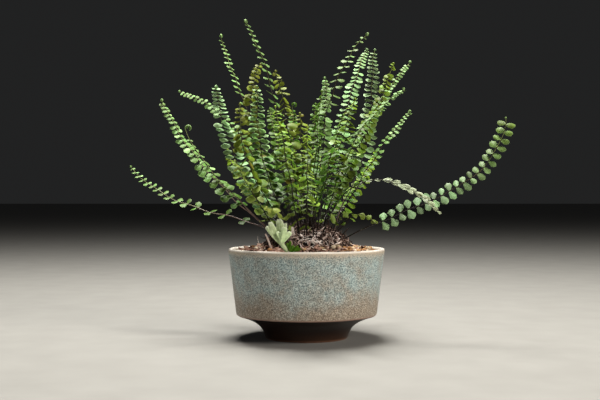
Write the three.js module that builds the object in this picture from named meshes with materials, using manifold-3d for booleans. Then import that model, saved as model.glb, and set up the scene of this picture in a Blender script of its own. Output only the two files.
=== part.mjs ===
// A rosy maidenhair fern in a round stoneware pot, as closed solids.
// Millimetres, +Z up. The origin is on the ground under the middle of the pot, with +X to the
// right of the front view and -Y towards the viewer.
import * as THREE from 'three';
import { mergeVertices } from 'three/addons/utils/BufferGeometryUtils.js';
import Module from 'manifold-3d';

const wasm = await Module();
wasm.setup();

// Pot
const RIM_RADIUS = 65;
const POT_HEIGHT = 74;
const RIM_WIDTH = 3.4;
const BODY_FOOT_RADIUS = 58.3;
const BODY_FOOT_HEIGHT = 19.7;
const POT_FOOT_RADIUS = 34;
const FOOT_RING_WIDTH = 7;
const FOOT_RING_HEIGHT = 2;
const POT_WALL = 4.6;
const POT_FLOOR = 8;
const DRAIN_RADIUS = 5;
const POT_SIDES = 42;
const INNER_FLOOR_RADIUS = 27;
const INNER_SHOULDER_HEIGHT = BODY_FOOT_HEIGHT + 5;
const RIM_INNER_RADIUS = RIM_RADIUS - RIM_WIDTH;

// Clear space between pieces that touch
const GAP = 0.3;

// Potting mix, heaped a little towards the crown, with an arch over the drain hole
const MIX_EDGE_HEIGHT = 70;
const MIX_HEAP_HEIGHT = 75;
const MIX_ARCH_HEIGHT = 2.5;
const MIX_SIDES = 42;
const MIX_ROUGHNESS = 1.3;

// Rhizome crown
const CROWN_RADIUS = 36;
const CROWN_SEAT_HEIGHT = 71;
const CROWN_EDGE_HEIGHT = 76;
const CROWN_TOP_HEIGHT = 93;
const CROWN_SIDES = 30;
const CROWN_ROUGHNESS = 1.1;
const CROWN_RING_SHARES = [0.86, 0.71, 0.54, 0.36, 0.18];

// Fronds
const STALK_DEPTH = 5.5;
const STALK_WIDTH = 1.5;
const STALK_THICKNESS = 1.2;
const TIP_WIDTH = 0.9;
const TIP_THICKNESS = 0.8;
const STALK_STEP = 13;
const BARE_STALK = 26;
const LEAFLET_PITCH = 12;
const LEAFLET_LENGTH = 7.8;
const LEAFLET_ROOT_SHARE = 0.4;
const MEAN_LEAFLET_SIZE = 0.85;
const LEAFLET_THICKNESS = 0.7;
const HOLE_CLEARANCE = 0.35;
const HOLE_REACH = 5;
const COIL_RADIUS = 2.1;
const COIL_WIDTH = 1.4;
const COIL_STEPS = 6;
const COIL_ANGLE = 1.55 * Math.PI;
const COIL_SHRINK = 0.3;

const TINTS = {
  bright: '#6b9c45',
  deep: '#4f7f3a',
  silver: '#9db48c',
  yellow: '#a9b552',
  bronze: '#8c6f4a',
  withered: '#b3ad82',
};

// One row for each frond. azimuth is the direction in which it leans, in degrees from +X towards
// +Y, roll turns its blade about its own stalk, and path holds the four control points of its
// curve as distance from the pot's axis and height, where the first point's height comes from the
// crown. leaf scales the leaflets and bare is the stalk without leaflets.
const FRONDS = [
  // The long low ones and the tall ones that make the outline seen from the front
  { azimuth: 160, roll: -72, path: [28, [52, 106], [120, 96], [165, 143]], tint: 'bright', bare: 22, coil: true },
  { azimuth: 184, roll: -60, path: [26, [60, 112], [100, 150], [119, 196]], tint: 'bright' },
  { azimuth: 203, roll: 60, path: [27, [58, 112], [92, 140], [104, 170]], tint: 'bright', coil: true },
  { azimuth: 166, roll: -62, path: [16, [42, 150], [62, 191], [112, 207]], tint: 'bright' },
  { azimuth: 186, roll: 65, path: [18, [52, 122], [70, 165], [75, 207]], tint: 'silver' },
  { azimuth: 132, roll: -30, path: [15, [42, 142], [90, 205], [116, 263]], tint: 'bright' },
  { azimuth: 217, roll: 50, path: [14, [31, 160], [24, 205], [61, 255]], tint: 'deep', bare: 36 },
  { azimuth: 148, roll: -40, path: [17, [56, 140], [66, 205], [46, 230]], tint: 'bronze' },
  { azimuth: 342, roll: 78, path: [31, [82, 111], [158, 118], [163, 178]], tint: 'bright', coil: true },
  { azimuth: 329, roll: 82, path: [18, [35, 139], [78, 142], [120, 104]], tint: 'withered', bare: 32 },
  { azimuth: 318, roll: -42, path: [7, [10, 165], [27, 221], [63, 244]], tint: 'deep' },
  { azimuth: 54, roll: 30, path: [16, [38, 150], [62, 205], [93, 250]], tint: 'silver' },
  { azimuth: 36, roll: 40, path: [22, [82, 160], [66, 205], [74, 245]], tint: 'silver' },
  { azimuth: 353, roll: 62, path: [11, [26, 130], [60, 185], [72, 226]], tint: 'bright' },
  { azimuth: 15, roll: 55, path: [16, [40, 140], [62, 205], [92, 231]], tint: 'bright' },
  { azimuth: 315, roll: -35, path: [19, [38, 148], [60, 180], [103, 197]], tint: 'deep', bare: 30 },
  { azimuth: 344, roll: 66, path: [22, [40, 122], [62, 160], [87, 185]], tint: 'bright', coil: true },
  // The middle of the clump
  { azimuth: 196, roll: 52, path: [13, [42, 138], [43, 175], [42, 207]], tint: 'deep', bare: 38 },
  { azimuth: 222, roll: 38, path: [19, [58, 125], [74, 155], [70, 189]], tint: 'bronze', coil: true },
  { azimuth: 248, roll: 14, path: [12, [30, 140], [44, 190], [64, 213]], tint: 'bronze' },
  { azimuth: 110, roll: 10, path: [5, [18, 130], [36, 165], [35, 196]], tint: 'deep', coil: true },
  { azimuth: 255, roll: 5, path: [4, [6, 125], [19, 155], [22, 184]], tint: 'bronze', bare: 36 },
  { azimuth: 62, roll: 20, path: [9, [28, 140], [40, 185], [34, 219]], tint: 'bright' },
  { azimuth: 82, roll: 5, path: [15, [32, 135], [56, 165], [58, 199]], tint: 'deep' },
  // Short leafy ones low at the front
  { azimuth: 222, roll: 40, path: [29, [44, 104], [58, 118], [76, 144]], tint: 'bright', bare: 12 },
  { azimuth: 242, roll: 14, path: [29, [40, 100], [52, 108], [66, 108]], tint: 'yellow', leaf: 1.15, bare: 8 },
  { azimuth: 314, roll: -32, path: [29, [44, 103], [60, 108], [76, 96]], tint: 'yellow', leaf: 1.1, bare: 10 },
  // Leaning to the front
  { azimuth: 270, roll: 0, path: [26, [52, 112], [84, 132], [107, 166]], tint: 'bright' },
  { azimuth: 287, roll: -8, path: [26, [44, 125], [66, 158], [92, 176]], tint: 'deep' },
  { azimuth: 256, roll: 8, path: [25, [50, 125], [72, 156], [96, 182]], tint: 'bright' },
  { azimuth: 282, roll: 0, path: [12, [30, 140], [42, 172], [54, 198]], tint: 'deep', bare: 34 },
  { azimuth: 303, roll: -20, path: [19, [36, 136], [54, 170], [68, 192]], tint: 'bright', bare: 30 },
  // Leaning to the back
  { azimuth: 98, roll: 0, path: [26, [56, 116], [86, 140], [106, 176]], tint: 'bright' },
  { azimuth: 113, roll: -10, path: [24, [48, 128], [66, 165], [84, 196]], tint: 'deep' },
  { azimuth: 128, roll: -36, path: [27, [62, 110], [98, 128], [118, 160]], tint: 'bright' },
  { azimuth: 84, roll: 8, path: [27, [58, 116], [88, 136], [104, 166]], tint: 'bright' },
  { azimuth: 70, roll: 14, path: [28, [62, 110], [94, 122], [110, 150]], tint: 'deep' },
  { azimuth: 55, roll: 26, path: [28, [60, 112], [92, 128], [112, 158]], tint: 'bright' },
];

// Young leaves that stand in the mix at the front edge of the pot
const YOUNG_LEAF_ROOT = [-12, -55.5, 64];
const YOUNG_LEAF_STALK_TOP = [-12.6, -56.5, 76];
const YOUNG_LEAF_LENGTH = 27;
const YOUNG_LEAF_WIDTH = 22;
const YOUNG_LEAF_LEAN = 24;
const YOUNG_LEAF_THICKNESS = 0.8;
const YOUNG_STALK_WIDTH = 1.5;
const SMALL_LEAF_SCALE = 0.44;
const SMALL_LEAF_LEAN = -14;

// A seeded source of even numbers from 0 to 1.
function randomSource(seed) {
  let state = seed;
  return () => {
    state = (state * 16807) % 2147483647;
    return state / 2147483647;
  };
}

// A closed geometry as a solid for cutting and joining.
function solidOf(geometry) {
  const bare = geometry.clone();
  bare.deleteAttribute('normal');
  bare.deleteAttribute('uv');
  const merged = mergeVertices(bare, 1e-4);
  return new wasm.Manifold(new wasm.Mesh({
    numProp: 3,
    vertProperties: merged.attributes.position.array,
    triVerts: new Uint32Array(merged.index.array),
  }));
}

function geometryOf(solid) {
  const mesh = solid.getMesh();
  const geometry = new THREE.BufferGeometry();
  geometry.setAttribute('position', new THREE.BufferAttribute(mesh.vertProperties, 3));
  geometry.setIndex(new THREE.BufferAttribute(mesh.triVerts, 1));
  return geometry;
}

function indexedGeometry(points, triangles) {
  const geometry = new THREE.BufferGeometry();
  geometry.setAttribute('position', new THREE.Float32BufferAttribute(points.flat(), 3));
  geometry.setIndex(triangles.flat());
  return geometry;
}

// A round solid from a profile that runs from the axis below to the axis above. relief moves each
// ring point in radius and height.
function roundSolid(profile, sides, relief) {
  const points = [[0, 0, profile[0][1]]];
  const triangles = [];
  const rings = profile.slice(1, -1);
  const at = (ring, side) => 1 + ring * sides + (side % sides);
  for (const [ring, [radius, height]] of rings.entries()) {
    for (let side = 0; side < sides; side += 1) {
      const [outward, upward] = relief(ring, side);
      const angle = (2 * Math.PI * side) / sides;
      const reach = radius + outward;
      points.push([reach * Math.cos(angle), reach * Math.sin(angle), height + upward]);
    }
  }
  points.push([0, 0, profile[profile.length - 1][1]]);
  const top = points.length - 1;
  for (let side = 0; side < sides; side += 1) {
    triangles.push([0, at(0, side + 1), at(0, side)]);
    for (let ring = 0; ring < rings.length - 1; ring += 1) {
      triangles.push([at(ring, side), at(ring, side + 1), at(ring + 1, side + 1)]);
      triangles.push([at(ring, side), at(ring + 1, side + 1), at(ring + 1, side)]);
    }
    triangles.push([at(rings.length - 1, side), at(rings.length - 1, side + 1), top]);
  }
  return indexedGeometry(points, triangles);
}

// The pot's inner wall, as radius at a height.
function innerRadius(height) {
  const slope = (RIM_RADIUS - BODY_FOOT_RADIUS) / (POT_HEIGHT - BODY_FOOT_HEIGHT);
  return BODY_FOOT_RADIUS - POT_WALL + slope * (height - BODY_FOOT_HEIGHT);
}

function potGeometry() {
  const profile = [
    [DRAIN_RADIUS, FOOT_RING_HEIGHT],
    [POT_FOOT_RADIUS - FOOT_RING_WIDTH, FOOT_RING_HEIGHT],
    [POT_FOOT_RADIUS - FOOT_RING_WIDTH, 0],
    [POT_FOOT_RADIUS, 0],
    [POT_FOOT_RADIUS + 1.4, 6],
    [POT_FOOT_RADIUS + 8, 13],
    [BODY_FOOT_RADIUS - 1.5, BODY_FOOT_HEIGHT - 1],
    [BODY_FOOT_RADIUS, BODY_FOOT_HEIGHT + 0.4],
    [RIM_RADIUS, POT_HEIGHT - 1],
    [RIM_RADIUS - 0.8, POT_HEIGHT],
    [RIM_INNER_RADIUS, POT_HEIGHT - 0.4],
    [innerRadius(MIX_EDGE_HEIGHT - 2), MIX_EDGE_HEIGHT - 2],
    [innerRadius(INNER_SHOULDER_HEIGHT), INNER_SHOULDER_HEIGHT],
    [INNER_FLOOR_RADIUS, POT_FLOOR],
    [DRAIN_RADIUS, POT_FLOOR],
  ].map(([radius, height]) => new THREE.Vector2(radius, height));
  profile.push(profile[0].clone());
  return new THREE.LatheGeometry(profile, POT_SIDES).rotateX(Math.PI / 2);
}

// Height of the crown's dome at a distance from the pot's axis.
function crownHeight(radius) {
  const share = Math.min(1, radius / CROWN_RADIUS);
  return CROWN_EDGE_HEIGHT + (CROWN_TOP_HEIGHT - CROWN_EDGE_HEIGHT) * (1 - share ** 2.5);
}

// Chips and grains as bumps of the mix's surface. The rings inside the pot stay smooth.
function mixSolid() {
  const random = randomSource(4201);
  const heapRadius = CROWN_RADIUS + 2.2;
  const seatRadius = CROWN_RADIUS + GAP;
  const drop = (radius) => {
    const share = (radius - heapRadius) / (RIM_INNER_RADIUS - heapRadius);
    return MIX_HEAP_HEIGHT + (MIX_EDGE_HEIGHT - MIX_HEAP_HEIGHT) * share;
  };
  const edgeRadius = innerRadius(MIX_EDGE_HEIGHT - 2) - GAP - 0.3;
  const shoulderRadius = innerRadius(INNER_SHOULDER_HEIGHT) - GAP - 0.2;
  const surfaceRadii = [0.93, 0.69, 0.46, 0.22, 0].map((share) =>
    heapRadius + share * (edgeRadius - heapRadius));
  const below = [
    [0, POT_FLOOR + MIX_ARCH_HEIGHT],
    [DRAIN_RADIUS + 3, POT_FLOOR + MIX_ARCH_HEIGHT],
    [DRAIN_RADIUS + 6, POT_FLOOR + GAP],
    [INNER_FLOOR_RADIUS - 0.4, POT_FLOOR + GAP],
    [shoulderRadius, INNER_SHOULDER_HEIGHT + GAP],
    [edgeRadius, MIX_EDGE_HEIGHT - 2.2],
  ];
  const profile = [
    ...below,
    ...surfaceRadii.map((radius) => [radius, drop(radius)]),
    [seatRadius, CROWN_SEAT_HEIGHT],
    [0, CROWN_SEAT_HEIGHT],
  ];
  const firstRough = below.length;
  const lastRough = firstRough + 3;
  const relief = (ring) => {
    const lift = (random() - 0.4) * 2 * MIX_ROUGHNESS;
    const shift = (random() - 0.5) * MIX_ROUGHNESS;
    if (ring < firstRough || ring > lastRough) {
      return [0, 0];
    }
    return [shift, lift];
  };
  return solidOf(roundSolid(profile, MIX_SIDES, relief));
}

// The crown's dome, lumpy with old stalk bases.
function crownSolid() {
  const random = randomSource(977);
  const domeRadii = CROWN_RING_SHARES.map((share) => share * CROWN_RADIUS);
  const profile = [
    [0, CROWN_SEAT_HEIGHT + GAP],
    [CROWN_RADIUS, CROWN_SEAT_HEIGHT + GAP],
    [CROWN_RADIUS - 0.6, CROWN_EDGE_HEIGHT],
    ...domeRadii.map((radius) => [radius, crownHeight(radius)]),
    [0, CROWN_TOP_HEIGHT],
  ];
  const relief = (ring) => {
    const lift = (random() - 0.5) * 2 * CROWN_ROUGHNESS;
    return ring < 2 ? [0, 0] : [0, lift];
  };
  return solidOf(roundSolid(profile, CROWN_SIDES, relief));
}

// A frond's curve in its own upright plane, from the crown's surface to the tip.
function frondCurve(frond) {
  const [rootRadius, first, second, tip] = frond.path;
  const root = [rootRadius, crownHeight(rootRadius)];
  const [a, b, c, d] = [root, first, second, tip].map(([radius, height]) =>
    new THREE.Vector2(radius, height));
  return new THREE.CubicBezierCurve(a, b, c, d);
}

// A station is a place on the stalk with its direction, both in the frond's plane, and the
// stalk's width and thickness there. Where a pair of leaflets begins, it holds their size too.
function station(point, tangent, width, thickness) {
  return { point, tangent, width, thickness };
}

// The stalk's place at a distance before or after the point where it leaves the crown, along a
// straight line in its first direction.
function rootStation(curve, distance, widen) {
  const direction = curve.getTangentAt(0);
  const point = curve.getPointAt(0).addScaledVector(direction, distance);
  return station(point, direction, STALK_WIDTH + widen, STALK_THICKNESS + widen);
}

// Shares of the leafy length at which one pair of leaflets ends and the next begins. Pairs get
// closer towards the tip, as the leaflets get smaller.
function leafletSize(share) {
  return 1 - 0.5 * share ** 2.2;
}

function pairShares(pairs) {
  const shares = [0];
  for (let pair = 0; pair < pairs; pair += 1) {
    shares.push(shares[pair] + leafletSize((pair + 0.5) / pairs));
  }
  return shares.map((share) => share / shares[pairs]);
}

function frondStations(frond) {
  const curve = frondCurve(frond);
  const length = curve.getLength();
  const bare = frond.bare ?? BARE_STALK;
  const leaf = frond.leaf ?? 1;
  const pairs = Math.round((length - bare) / (LEAFLET_PITCH * leaf * MEAN_LEAFLET_SIZE));
  const stations = [rootStation(curve, -STALK_DEPTH, 0), rootStation(curve, 0, 0)];
  const at = (distance) => {
    const share = Math.min(1, distance / length);
    const width = STALK_WIDTH + (TIP_WIDTH - STALK_WIDTH) * share;
    const thickness = STALK_THICKNESS + (TIP_THICKNESS - STALK_THICKNESS) * share;
    return station(curve.getPointAt(share), curve.getTangentAt(share), width, thickness);
  };
  const bareSteps = Math.max(1, Math.round(bare / STALK_STEP));
  for (let step = 1; step < bareSteps; step += 1) {
    stations.push(at((bare * step) / bareSteps));
  }
  const shares = pairShares(pairs);
  for (let pair = 0; pair < pairs; pair += 1) {
    const pitch = shares[pair + 1] - shares[pair];
    const size = leaf * leafletSize((pair + 0.5) / pairs);
    const start = shares[pair] + (pitch * (1 - LEAFLET_ROOT_SHARE)) / 2;
    const rooted = at(bare + (length - bare) * start);
    stations.push({ ...rooted, leafletSize: size });
    stations.push(at(bare + (length - bare) * (start + pitch * LEAFLET_ROOT_SHARE)));
  }
  return stations;
}

// Axes of a frond in space: a point of its plane, and the frame of its blade at a station.
function frondFrame(frond) {
  const azimuth = THREE.MathUtils.degToRad(frond.azimuth);
  const roll = THREE.MathUtils.degToRad(frond.roll);
  const outward = new THREE.Vector3(Math.cos(azimuth), Math.sin(azimuth), 0);
  const across = new THREE.Vector3(-Math.sin(azimuth), Math.cos(azimuth), 0);
  const up = new THREE.Vector3(0, 0, 1);
  const place = (point) => new THREE.Vector3()
    .addScaledVector(outward, point.x)
    .addScaledVector(up, point.y);
  const frame = (tangent) => {
    const along = new THREE.Vector3()
      .addScaledVector(outward, tangent.x)
      .addScaledVector(up, tangent.y);
    const face = along.clone().cross(across);
    const width = across.clone().multiplyScalar(Math.cos(roll))
      .addScaledVector(face, Math.sin(roll));
    return { along, width, normal: along.clone().cross(width) };
  };
  return { place, frame };
}

// A leaflet's outer corners from its lower to its upper side, as shares of its length along the
// stalk, outwards and above the blade. It is a fan on a narrow root, with its lower corner dipped
// and its upper one raised, like a blade of a propeller.
const LEAFLET_OUTLINE = [
  [-0.42, 0.86, -0.06],
  [0.46, 0.98, 0.16],
];

// Places of the tip's sections where it is rolled up towards its upper face, as on a young frond.
function coilTurns(last) {
  const { along, width, normal } = last.axes;
  const hub = last.centre.clone().addScaledVector(normal, COIL_RADIUS);
  const turns = [];
  for (let step = 1; step <= COIL_STEPS; step += 1) {
    const angle = (COIL_ANGLE * step) / COIL_STEPS;
    const radius = COIL_RADIUS * (1 - (COIL_SHRINK * step) / COIL_STEPS);
    const centre = hub.clone()
      .addScaledVector(normal, -radius * Math.cos(angle))
      .addScaledVector(along, radius * Math.sin(angle));
    const ahead = along.clone().multiplyScalar(Math.cos(angle))
      .addScaledVector(normal, Math.sin(angle));
    turns.push({ centre, axes: { along: ahead, width, normal: ahead.clone().cross(width) } });
  }
  return turns;
}

// Closed mesh of a stalk of four-cornered sections with a leaflet on each side of each pair's
// root, both faces split alike.
function frondGeometry(frond, stations, coiled) {
  const { place, frame } = frondFrame(frond);
  const points = [];
  const triangles = [];
  const add = (point) => points.push(point.toArray()) - 1;
  const quad = (a, b, c, d) => triangles.push([a, b, c], [a, c, d]);
  const section = (centre, axes, width, thickness, size) => {
    const corner = (sideways, upward) => add(centre.clone()
      .addScaledVector(axes.width, (sideways * width) / 2)
      .addScaledVector(axes.normal, (upward * thickness) / 2));
    const right = [corner(1, 1), corner(1, -1)];
    const left = [corner(-1, 1), corner(-1, -1)];
    return { centre, axes, right, left, size };
  };
  const sections = stations.map((here) => {
    const axes = frame(here.tangent);
    return section(place(here.point), axes, here.width, here.thickness, here.leafletSize);
  });
  if (coiled) {
    for (const turn of coilTurns(sections[sections.length - 1])) {
      sections.push(section(turn.centre, turn.axes, COIL_WIDTH, TIP_THICKNESS));
    }
  }
  const leaflet = (from, to, sign) => {
    const size = LEAFLET_LENGTH * from.size;
    const [near, far] = sign > 0 ? [from.right, to.right] : [from.left, to.left];
    const root = from.centre.clone().lerp(to.centre, 0.5);
    const outline = LEAFLET_OUTLINE.map(([along, out, rise]) => {
      const middle = root.clone()
        .addScaledVector(from.axes.along, along * size)
        .addScaledVector(from.axes.width, sign * out * size)
        .addScaledVector(from.axes.normal, rise * size);
      return [1, -1].map((face) => add(middle.clone()
        .addScaledVector(from.axes.normal, (face * LEAFLET_THICKNESS) / 2)));
    });
    const edge = [near, ...outline, far];
    for (let index = 1; index < edge.length - 1; index += 1) {
      const upper = [edge[0][0], edge[index + 1][0], edge[index][0]];
      const lower = [edge[0][1], edge[index][1], edge[index + 1][1]];
      triangles.push(...(sign > 0 ? [upper, lower] : [upper.reverse(), lower.reverse()]));
    }
    for (let index = 0; index < edge.length - 1; index += 1) {
      const [here, next] = [edge[index], edge[index + 1]];
      if (sign > 0) {
        quad(here[0], next[0], next[1], here[1]);
      } else {
        quad(here[0], here[1], next[1], next[0]);
      }
    }
  };
  for (let index = 0; index < sections.length - 1; index += 1) {
    const [from, to] = [sections[index], sections[index + 1]];
    quad(from.left[0], to.left[0], to.right[0], from.right[0]);
    quad(from.right[1], to.right[1], to.left[1], from.left[1]);
    if (from.size) {
      leaflet(from, to, 1);
      leaflet(from, to, -1);
    } else {
      quad(from.right[0], to.right[0], to.right[1], from.right[1]);
      quad(from.left[1], to.left[1], to.left[0], from.left[0]);
    }
  }
  const [first, last] = [sections[0], sections[sections.length - 1]];
  quad(first.left[0], first.right[0], first.right[1], first.left[1]);
  quad(last.left[0], last.left[1], last.right[1], last.right[0]);
  return indexedGeometry(points, triangles);
}

// What a stalk's hole takes out of the crown: the stalk's first stretch, a little larger.
function holeSolid(frond) {
  const curve = frondCurve(frond);
  const stations = [
    rootStation(curve, -STALK_DEPTH - HOLE_CLEARANCE, 2 * HOLE_CLEARANCE),
    rootStation(curve, HOLE_REACH, 2 * HOLE_CLEARANCE),
  ];
  return solidOf(frondGeometry(frond, stations, false));
}

// A fan of cut lobes on a wedge-shaped base, standing up from the origin in the XZ plane.
function fanLeafShape(length, width, lobes) {
  const shape = new THREE.Shape();
  shape.moveTo(-YOUNG_STALK_WIDTH / 2, 0);
  shape.lineTo(YOUNG_STALK_WIDTH / 2, 0);
  const spread = THREE.MathUtils.degToRad(62);
  const steps = lobes * 4;
  for (let step = 0; step <= steps; step += 1) {
    const share = step / steps;
    const angle = spread * (1 - 2 * share);
    const cut = Math.abs(Math.sin(Math.PI * lobes * share));
    const reach = (0.72 + 0.28 * Math.cos(angle)) * (0.66 + 0.34 * Math.sqrt(cut));
    const x = (Math.sin(angle) * reach * width) / 1.6;
    const z = length * (0.36 + 0.64 * Math.cos(angle) * reach);
    shape.lineTo(x, z);
  }
  shape.closePath();
  return shape;
}

function fanLeafGeometry(length, width, lobes) {
  const geometry = new THREE.ExtrudeGeometry(fanLeafShape(length, width, lobes), {
    depth: YOUNG_LEAF_THICKNESS,
    bevelEnabled: false,
  });
  geometry.translate(0, 0, -YOUNG_LEAF_THICKNESS / 2);
  return geometry.rotateX(Math.PI / 2);
}

// Straight stalk between two points.
function stalkGeometry(from, to, width) {
  const start = new THREE.Vector3(...from);
  const end = new THREE.Vector3(...to);
  const section = new THREE.Shape();
  section.moveTo(-width / 2, -width / 2);
  section.lineTo(width / 2, -width / 2);
  section.lineTo(width / 2, width / 2);
  section.lineTo(-width / 2, width / 2);
  section.closePath();
  return new THREE.ExtrudeGeometry(section, {
    extrudePath: new THREE.LineCurve3(start, end),
    steps: 1,
    bevelEnabled: false,
  });
}

function youngLeafSolid() {
  const large = fanLeafGeometry(YOUNG_LEAF_LENGTH, YOUNG_LEAF_WIDTH, 5)
    .rotateX(THREE.MathUtils.degToRad(-10))
    .rotateY(THREE.MathUtils.degToRad(-YOUNG_LEAF_LEAN))
    .translate(...YOUNG_LEAF_STALK_TOP)
    .translate(0, 0, -2);
  const small = fanLeafGeometry(
    YOUNG_LEAF_LENGTH * SMALL_LEAF_SCALE,
    YOUNG_LEAF_WIDTH * SMALL_LEAF_SCALE,
    3,
  )
    .rotateX(THREE.MathUtils.degToRad(12))
    .rotateY(THREE.MathUtils.degToRad(-SMALL_LEAF_LEAN))
    .translate(...YOUNG_LEAF_STALK_TOP)
    .translate(0.6, 0, -3);
  return solidOf(stalkGeometry(YOUNG_LEAF_ROOT, YOUNG_LEAF_STALK_TOP, YOUNG_STALK_WIDTH))
    .add(solidOf(large))
    .add(solidOf(small));
}

function material(color, roughness) {
  return new THREE.MeshStandardMaterial({ color, roughness, metalness: 0 });
}

function named(name, geometry, finish) {
  const mesh = new THREE.Mesh(geometry, finish);
  mesh.name = name;
  return mesh;
}

const plant = new THREE.Group();

plant.add(named('pot', potGeometry(), material('#8a978f', 0.35)));

const [leafRootX, leafRootY, leafRootZ] = YOUNG_LEAF_ROOT;
const leafHole = solidOf(stalkGeometry(
  [leafRootX, leafRootY, leafRootZ - GAP],
  YOUNG_LEAF_STALK_TOP,
  YOUNG_STALK_WIDTH + 2 * HOLE_CLEARANCE,
));
const mix = mixSolid().subtract(leafHole);
plant.add(named('potting_mix', geometryOf(mix), material('#6e5444', 0.95)));

let crown = crownSolid();
for (const frond of FRONDS) {
  crown = crown.subtract(holeSolid(frond));
}
plant.add(named('rhizome_crown', geometryOf(crown), material('#4d392b', 0.95)));

for (const [index, frond] of FRONDS.entries()) {
  const name = `frond_${String(index + 1).padStart(2, '0')}`;
  const geometry = frondGeometry(frond, frondStations(frond), frond.coil);
  plant.add(named(name, geometry, material(TINTS[frond.tint], 0.6)));
}

plant.add(named('young_leaf', geometryOf(youngLeafSolid()), material('#a9bd8a', 0.6)));

export default plant;
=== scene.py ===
import math
from types import SimpleNamespace

import bmesh
import bpy
import numpy as np
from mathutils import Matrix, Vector, noise


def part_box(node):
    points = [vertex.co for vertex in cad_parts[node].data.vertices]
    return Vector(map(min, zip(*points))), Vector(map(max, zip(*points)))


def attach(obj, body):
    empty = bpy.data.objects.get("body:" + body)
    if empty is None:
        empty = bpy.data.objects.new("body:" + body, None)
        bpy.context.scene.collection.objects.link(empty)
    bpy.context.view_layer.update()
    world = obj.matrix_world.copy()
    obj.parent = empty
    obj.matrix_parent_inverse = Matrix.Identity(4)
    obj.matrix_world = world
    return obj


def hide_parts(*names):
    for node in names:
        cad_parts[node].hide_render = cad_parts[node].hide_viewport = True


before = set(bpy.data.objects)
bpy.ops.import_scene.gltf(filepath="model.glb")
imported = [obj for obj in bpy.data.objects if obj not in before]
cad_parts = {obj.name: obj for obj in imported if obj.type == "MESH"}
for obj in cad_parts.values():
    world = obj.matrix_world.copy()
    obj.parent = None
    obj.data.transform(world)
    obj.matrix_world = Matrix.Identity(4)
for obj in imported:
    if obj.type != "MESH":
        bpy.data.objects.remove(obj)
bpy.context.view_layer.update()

# A rosy maidenhair fern in a round stoneware pot. Sizes are in millimetres and become metres
# where a mesh, a light or the camera is made. +Z is up and -Y is towards the viewer.
MM = 0.001

# Pot
POT_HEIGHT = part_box("pot")[1].z / MM
RIM_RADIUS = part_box("pot")[1].x / MM
RIM_WIDTH = 3.4
POT_FOOT_RADIUS = 34
FOOT_RING_WIDTH = 7
FOOT_RING_HEIGHT = 2
BODY_FOOT_RADIUS = 58.3
BODY_FOOT_HEIGHT = 19.7
POT_WALL = 4.6
POT_FLOOR = 8
INNER_BEND_HEIGHT = BODY_FOOT_HEIGHT + 5
DRAIN_RADIUS = 5
POT_SIDES = 144
CORNER_STEPS = 5

# Potting mix and the litter on it
MIX_SEED = 71
MIX_EDGE_HEIGHT = 70
MIX_HEAP_HEIGHT = 75
MIX_SIDES = 120
BARK_CHIPS = 420
PUMICE_GRAINS = 80
GRIT_GRAINS = 900
# Half of the pumice grains gather about this direction, in degrees from +X
PUMICE_HEADING = -28
PUMICE_SPREAD = 18
MIX_GAP = 0.4

# Rhizome crown
CROWN_SEED = 1931
CROWN_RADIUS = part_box("rhizome_crown")[1].x / MM
CROWN_SEAT_HEIGHT = 71.3
CROWN_EDGE_HEIGHT = 76
CROWN_TOP_HEIGHT = 93
CROWN_SIDES = 110
LITTER_FLAKES = 1300
BROAD_FLAKES = 0.22
FLAKE_THICKNESS = 0.3
DEAD_STALKS = 45
DEAD_STALK_WIDTH = 1.1

# Scraps that stand out at the front of the mound: the start, middle and end of the curve, the
# width, the finish (0 dry litter, 1 olive leaf, 2 weathered stalk), and the tone or the age
SCRAP_SEED = 12
FRONT_SCRAPS = [
    ((-28, -31, 73), (-30, -32, 81), (-33, -33, 87), 1.6, 0, 0.8),
    ((-36, -34, 73.5), (-39, -35, 79), (-39, -35, 85), 0.4, 0, 1.0),
    ((-9.9, -24, 83.5), (-11.4, -27.5, 88), (-11.5, -27.5, 92.5), 2.6, 0, 0.95),
    ((4, -22, 86), (1.5, -25, 97), (-6, -21, 89.5), 2.0, 1, 0.7),
    ((-14, -20, 87), (-11, -25, 99), (-1, -24, 99.5), 1.5, 1, 0.8),
    ((22, -16, 87), (24.5, -18, 98), (31, -19, 117), 0.6, 2, 0.3),
    ((18, -15, 89), (17, -18, 98), (20, -18.5, 103), 0.6, 2, 0.1),
    ((9, -14, 90), (6, -17, 93), (7.6, -18, 96.5), 0.6, 2, 0.1),
    ((-20, -14, 88), (-19, -18, 97), (-16, -19, 102), 0.5, 2, 0.1),
]
# Single leaflets on the low stalks among them: the root, the way out and the length
LOW_LEAFLETS = [
    ((20, -18.5, 103), (0.3, -0.2, -0.95), 8.6),
    ((7.6, -18, 96.5), (0.97, -0.1, 0.2), 6.5),
    ((-16, -19, 102), (0.9, -0.2, 0.1), 6.5),
]

# Fronds
FROND_SEED = 499
STALK_DEPTH = 5.5
STALK_WIDTH = 1.05
STALK_THICKNESS = 0.95
TIP_WIDTH = 0.38
STALK_SIDES = 7
STALK_STEP = 4
# A stalk isn't quite straight: it sways by this much to both sides, in waves of such lengths
STALK_SWAY = 0.55
SWAY_WAVES = (26, 44)
LEAFLET_PITCH = 4.1
LEAFLET_LENGTH = 7.6
LENGTH_SPREAD = (0.84, 1.08)
WIDTH_SHARES = (0.74, 0.88)
# Shares by which leaflets and the spaces between them get smaller up to the tip
LEAFLET_SHRINK = 0.68
PITCH_SHRINK = 0.45
LEAFLET_THICKNESS = 0.34
PALE_LEAFLETS = 0.04
LEAFLET_GRID = 6
CURVE_SAMPLES = 201
COIL_ANGLE = 1.55 * math.pi
COIL_SHRINK = 0.3
COIL_STEPS = 15

# The way that leaflets turn their upper faces: up, and towards the viewer, where the light is
SKYWARD = (0.08, -0.62, 0.78)

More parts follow.
